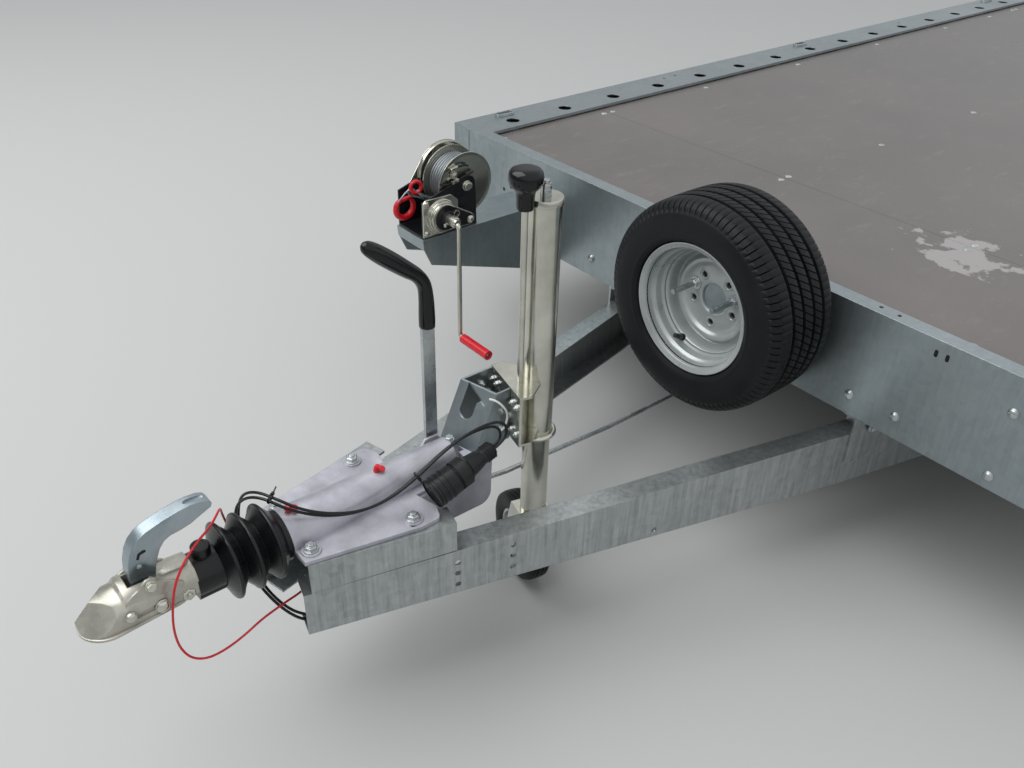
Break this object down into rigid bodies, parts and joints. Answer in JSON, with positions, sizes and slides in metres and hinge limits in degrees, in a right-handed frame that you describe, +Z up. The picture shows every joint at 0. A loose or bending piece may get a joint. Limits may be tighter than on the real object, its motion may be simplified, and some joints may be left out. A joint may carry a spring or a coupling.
{
  "type": "car trailer",
  "caption": "Flat-deck car trailer with a drawbar, ball coupling, jockey wheel, hand winch, spare wheel and small road wheels under the deck.",
  "frame": {"origin": "on the ground in the middle of the overall length and width", "axes": "+Y to the tail, +X to the left of travel, +Z up"},
  "size_m": [2.1, 5.97, 0.961],
  "materials": {
    "aluminium": "mill finish",
    "black_plastic": "moulded, matt",
    "black_rubber": "moulded rubber",
    "deck_board": "film-faced plywood, dark brown, worn and dirty",
    "galvanised": "hot-dip galvanised, dull and slightly spangled",
    "housing_grey": "cast, dull grey",
    "lens": "red, glossy",
    "plate_blank": "plain white",
    "red_plastic": "moulded, matt",
    "rim": "silver paint, satin",
    "rope": "twisted steel wire, dull",
    "tyre": "black rubber",
    "zinc": "zinc plated, satin",
    "zinc_nickel": "zinc-nickel plated, satin, warm grey"
  },
  "bodies": {
    "chassis": {"front_panel": "galvanised", "side_rail_left": "galvanised", "side_rail_right": "galvanised", "rear_panel": "galvanised", "main_rail_left": "galvanised", "main_rail_right": "galvanised", "cross_members": "galvanised", "deck_boards": "deck_board", "drawbar_beam_left": "galvanised", "drawbar_beam_right": "galvanised", "drawbar_brackets": "galvanised", "overrun_housing": "housing_grey", "overrun_shaft": "zinc", "bellows": "black_rubber", "coupling_head": "zinc_nickel", "coupling_handle": "zinc", "handbrake_lever": "zinc", "handbrake_grip": "black_plastic", "brake_rod": "zinc", "jockey_clamp": "galvanised", "jockey_bracket": "galvanised", "jockey_outer_tube": "zinc", "jockey_lock_rod": "zinc", "jockey_lock_knob": "black_plastic", "winch_bracket": "galvanised", "winch_frame": "zinc", "winch_drum": "zinc", "winch_rope": "rope", "winch_hook": "red_plastic", "winch_gear_cover": "zinc", "plug_lead_upper": "black_rubber", "plug_lead_lower": "black_rubber", "breakaway_cable": "red_plastic", "winch_crank": "zinc", "winch_crank_grip": "red_plastic", "spare_rim": "rim", "spare_tyre": "tyre", "spare_bracket": "galvanised", "axle_front": "galvanised", "axle_rear": "galvanised", "lamp_housings": "black_plastic", "lamp_lenses": "lens", "number_plate": "plate_blank", "lashing_loops": "zinc", "ramp_guides": "galvanised", "plug": "black_plastic", "plug_holder": "black_plastic"},
    "wheel_front_left": {"rim_front_left": "rim", "tyre_front_left": "tyre"},
    "wheel_front_right": {"rim_front_right": "rim", "tyre_front_right": "tyre"},
    "wheel_rear_left": {"rim_rear_left": "rim", "tyre_rear_left": "tyre"},
    "wheel_rear_right": {"rim_rear_right": "rim", "tyre_rear_right": "tyre"},
    "jockey_leg": {"jockey_leg": "zinc"},
    "jockey_wheel": {"jockey_wheel_rim": "zinc", "jockey_wheel_tyre": "black_rubber"},
    "ramp_left": {"ramp_left": "aluminium"},
    "ramp_right": {"ramp_right": "aluminium"}
  },
  "joints": [
    {"name": "wheel_front_left_spin", "type": "hinge", "parent": "chassis", "child": "wheel_front_left", "pos_m": [0.917, 0.645, 0.234], "axis": [1, 0, 0], "continuous": true},
    {"name": "wheel_front_right_spin", "type": "hinge", "parent": "chassis", "child": "wheel_front_right", "pos_m": [-0.917, 0.645, 0.234], "axis": [1, 0, 0], "continuous": true},
    {"name": "wheel_rear_left_spin", "type": "hinge", "parent": "chassis", "child": "wheel_rear_left", "pos_m": [0.917, 1.265, 0.234], "axis": [1, 0, 0], "continuous": true},
    {"name": "wheel_rear_right_spin", "type": "hinge", "parent": "chassis", "child": "wheel_rear_right", "pos_m": [-0.917, 1.265, 0.234], "axis": [1, 0, 0], "continuous": true},
    {"name": "jockey_leg_slide", "type": "slide", "parent": "chassis", "child": "jockey_leg", "axis": [0, 0, 1], "range_m": [-0.1, 0.075]},
    {"name": "jockey_wheel_spin", "type": "hinge", "parent": "jockey_leg", "child": "jockey_wheel", "pos_m": [-0.0104, -2.09884, 0.1], "axis": [0.2588, 0.9659, 0], "continuous": true},
    {"name": "ramp_left_slide", "type": "slide", "parent": "chassis", "child": "ramp_left", "axis": [0, 1, 0], "range_m": [0, 1.4]},
    {"name": "ramp_right_slide", "type": "slide", "parent": "chassis", "child": "ramp_right", "axis": [0, 1, 0], "range_m": [0, 1.4]}
  ]
}
